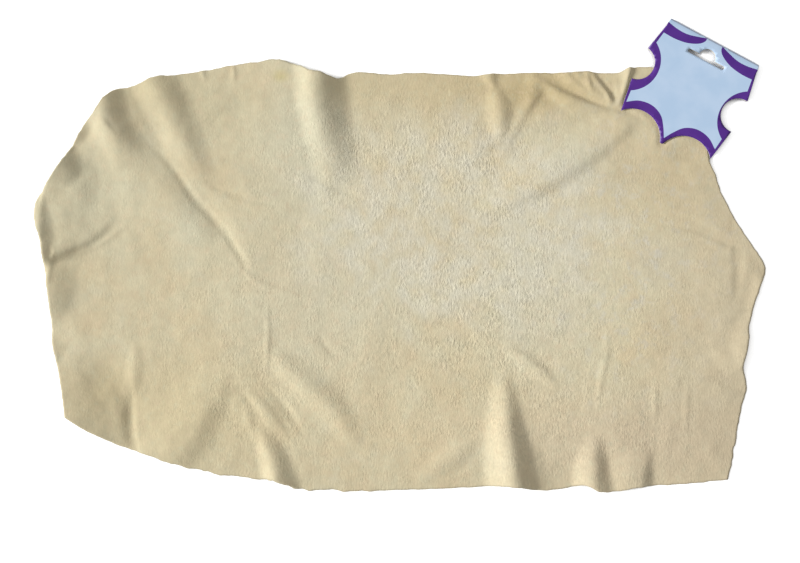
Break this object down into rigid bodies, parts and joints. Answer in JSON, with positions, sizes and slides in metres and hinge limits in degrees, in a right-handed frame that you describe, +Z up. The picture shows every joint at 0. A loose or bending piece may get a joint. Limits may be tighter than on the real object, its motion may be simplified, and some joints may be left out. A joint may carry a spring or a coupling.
{
  "type": "chamois leather",
  "caption": "Cut chamois cleaning leather lying in soft folds, with a folded hide-shaped card hang tag stapled to one corner.",
  "frame": {"origin": "on the surface that the hide lies on, under the middle of the whole object with its tag", "axes": "+X along the hide's length towards the tag's side, +Y across it towards the tag, +Z up off the surface"},
  "size_m": [0.577, 0.373, 0.0122],
  "materials": {
    "leather": "matt napped suede, cream to tan, raw cut edge",
    "card": "smooth coated card, pale blue with a violet border",
    "wire": "drawn galvanised wire"
  },
  "bodies": {
    "hide": {"chamois_hide": "leather", "tag_back_leaf": "card", "staple_left": "wire", "staple_right": "wire"},
    "tag_spine": {"tag_spine": "card"},
    "tag_front": {"tag_front_leaf": "card"}
  },
  "joints": [
    {"name": "back_crease", "type": "hinge", "parent": "hide", "child": "tag_spine", "pos_m": [0.24747, 0.16696, 0.0008], "axis": [-0.8813, 0.4726, 0], "range_deg": [0, 90]},
    {"name": "front_crease", "type": "hinge", "parent": "tag_spine", "child": "tag_front", "pos_m": [0.24747, 0.16696, 0.004], "axis": [-0.8813, 0.4726, 0], "range_deg": [0, 90]}
  ]
}
